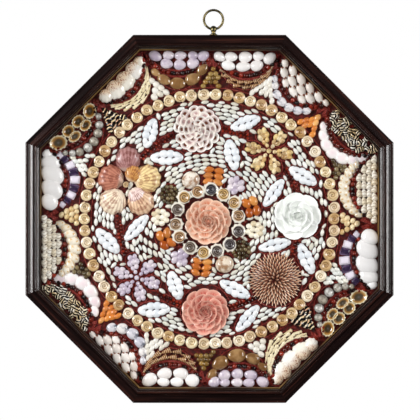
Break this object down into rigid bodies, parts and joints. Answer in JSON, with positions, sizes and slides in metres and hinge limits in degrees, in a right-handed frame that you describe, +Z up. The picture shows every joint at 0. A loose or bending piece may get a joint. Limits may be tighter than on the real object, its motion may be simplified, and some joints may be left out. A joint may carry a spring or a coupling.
{
  "type": "octagonal shell picture",
  "caption": "Octagonal wall picture of sea shells in roses, flowers and lunettes, in a deep moulded mahogany frame with a brass hanging ring.",
  "frame": {"origin": "middle of the frame's back, on the wall's surface", "axes": "+Z up along the wall, +Y into the wall, -Y towards the viewer, +X to the viewer's right"},
  "size_m": [0.457, 0.042, 0.4904],
  "materials": {
    "mahogany": "polished, dark, with reddish grain",
    "back_wood": "bare, aged",
    "oxblood_ground": "matt, dark red",
    "ochre_lining": "matt",
    "aged_brass": "worn, greenish in the hollows",
    "lilac_shell": "glossy lilac shell",
    "white_shell": "glossy white shell",
    "tipped_shell": "white shell with brown tips",
    "black_and_white_shell": "black and white shell",
    "cream_shell": "satin cream shell",
    "limpet_shell": "amber shell with a dark middle",
    "speckled_shell": "white shell speckled with orange brown",
    "snail_shell": "satin tan shell",
    "grey_snail_shell": "grey and brown shell",
    "cluster_shell": "orange, cream, lilac and olive shell",
    "coral_shell": "satin coral shell",
    "spotted_shell": "cream shell with brown spots",
    "pink_shell": "satin pink shell",
    "spine_shell": "tan and brown shell",
    "gold_shell": "glossy gold shell",
    "scallop_shell": "red brown, purple, yellow and cream shell",
    "red_bead": "glossy dark red bead"
  },
  "bodies": {
    "picture": {"frame_rail_top": "mahogany", "frame_rail_upper_right": "mahogany", "frame_rail_right": "mahogany", "frame_rail_lower_right": "mahogany", "frame_rail_bottom": "mahogany", "frame_rail_lower_left": "mahogany", "frame_rail_left": "mahogany", "frame_rail_upper_left": "mahogany", "back_board": "back_wood", "ground_board": "oxblood_ground", "liner": "ochre_lining", "hanger_stud": "aged_brass", "border_01_lilac": "lilac_shell", "border_02_white_egg": "white_shell", "border_03_brown_tipped": "tipped_shell", "border_04_black_and_white": "black_and_white_shell", "border_05_cream_cone": "cream_shell", "border_06_white_bivalve": "white_shell", "border_07_limpet": "limpet_shell", "border_08_speckled_scallop": "speckled_shell", "border_09_lilac": "lilac_shell", "border_10_white_egg": "white_shell", "border_11_brown_tipped": "tipped_shell", "border_12_black_and_white": "black_and_white_shell", "border_13_cream_cone": "cream_shell", "border_14_white_bivalve": "white_shell", "border_15_limpet": "limpet_shell", "border_16_speckled_scallop": "speckled_shell", "snail_ring": "snail_shell", "inner_snail_ring": "grey_snail_shell", "cluster_ring": "cluster_shell", "rose_coral_centre": "coral_shell", "rose_spotted": "spotted_shell", "rose_white": "white_shell", "rose_pink": "pink_shell", "spiny_dome": "spine_shell", "gold_flower": "gold_shell", "lilac_flower": "lilac_shell", "scallop_flower": "scallop_shell", "bead_garland": "red_bead", "leaf_outer_1": "white_shell", "leaf_inner_1": "white_shell", "leaf_outer_2": "white_shell", "leaf_inner_2": "white_shell", "leaf_outer_3": "white_shell", "leaf_inner_3": "white_shell", "leaf_outer_4": "white_shell", "leaf_inner_4": "white_shell", "leaf_outer_5": "white_shell", "leaf_inner_5": "white_shell", "leaf_outer_6": "white_shell", "leaf_inner_6": "white_shell", "leaf_outer_7": "white_shell", "leaf_inner_7": "white_shell"},
    "ring": {"hanger_ring": "aged_brass"}
  },
  "joints": [
    {"name": "ring_swing", "type": "hinge", "parent": "picture", "child": "ring", "pos_m": [0.005, -0.012, 0.2365], "axis": [1, 0, 0], "range_deg": [-95, 95]}
  ]
}
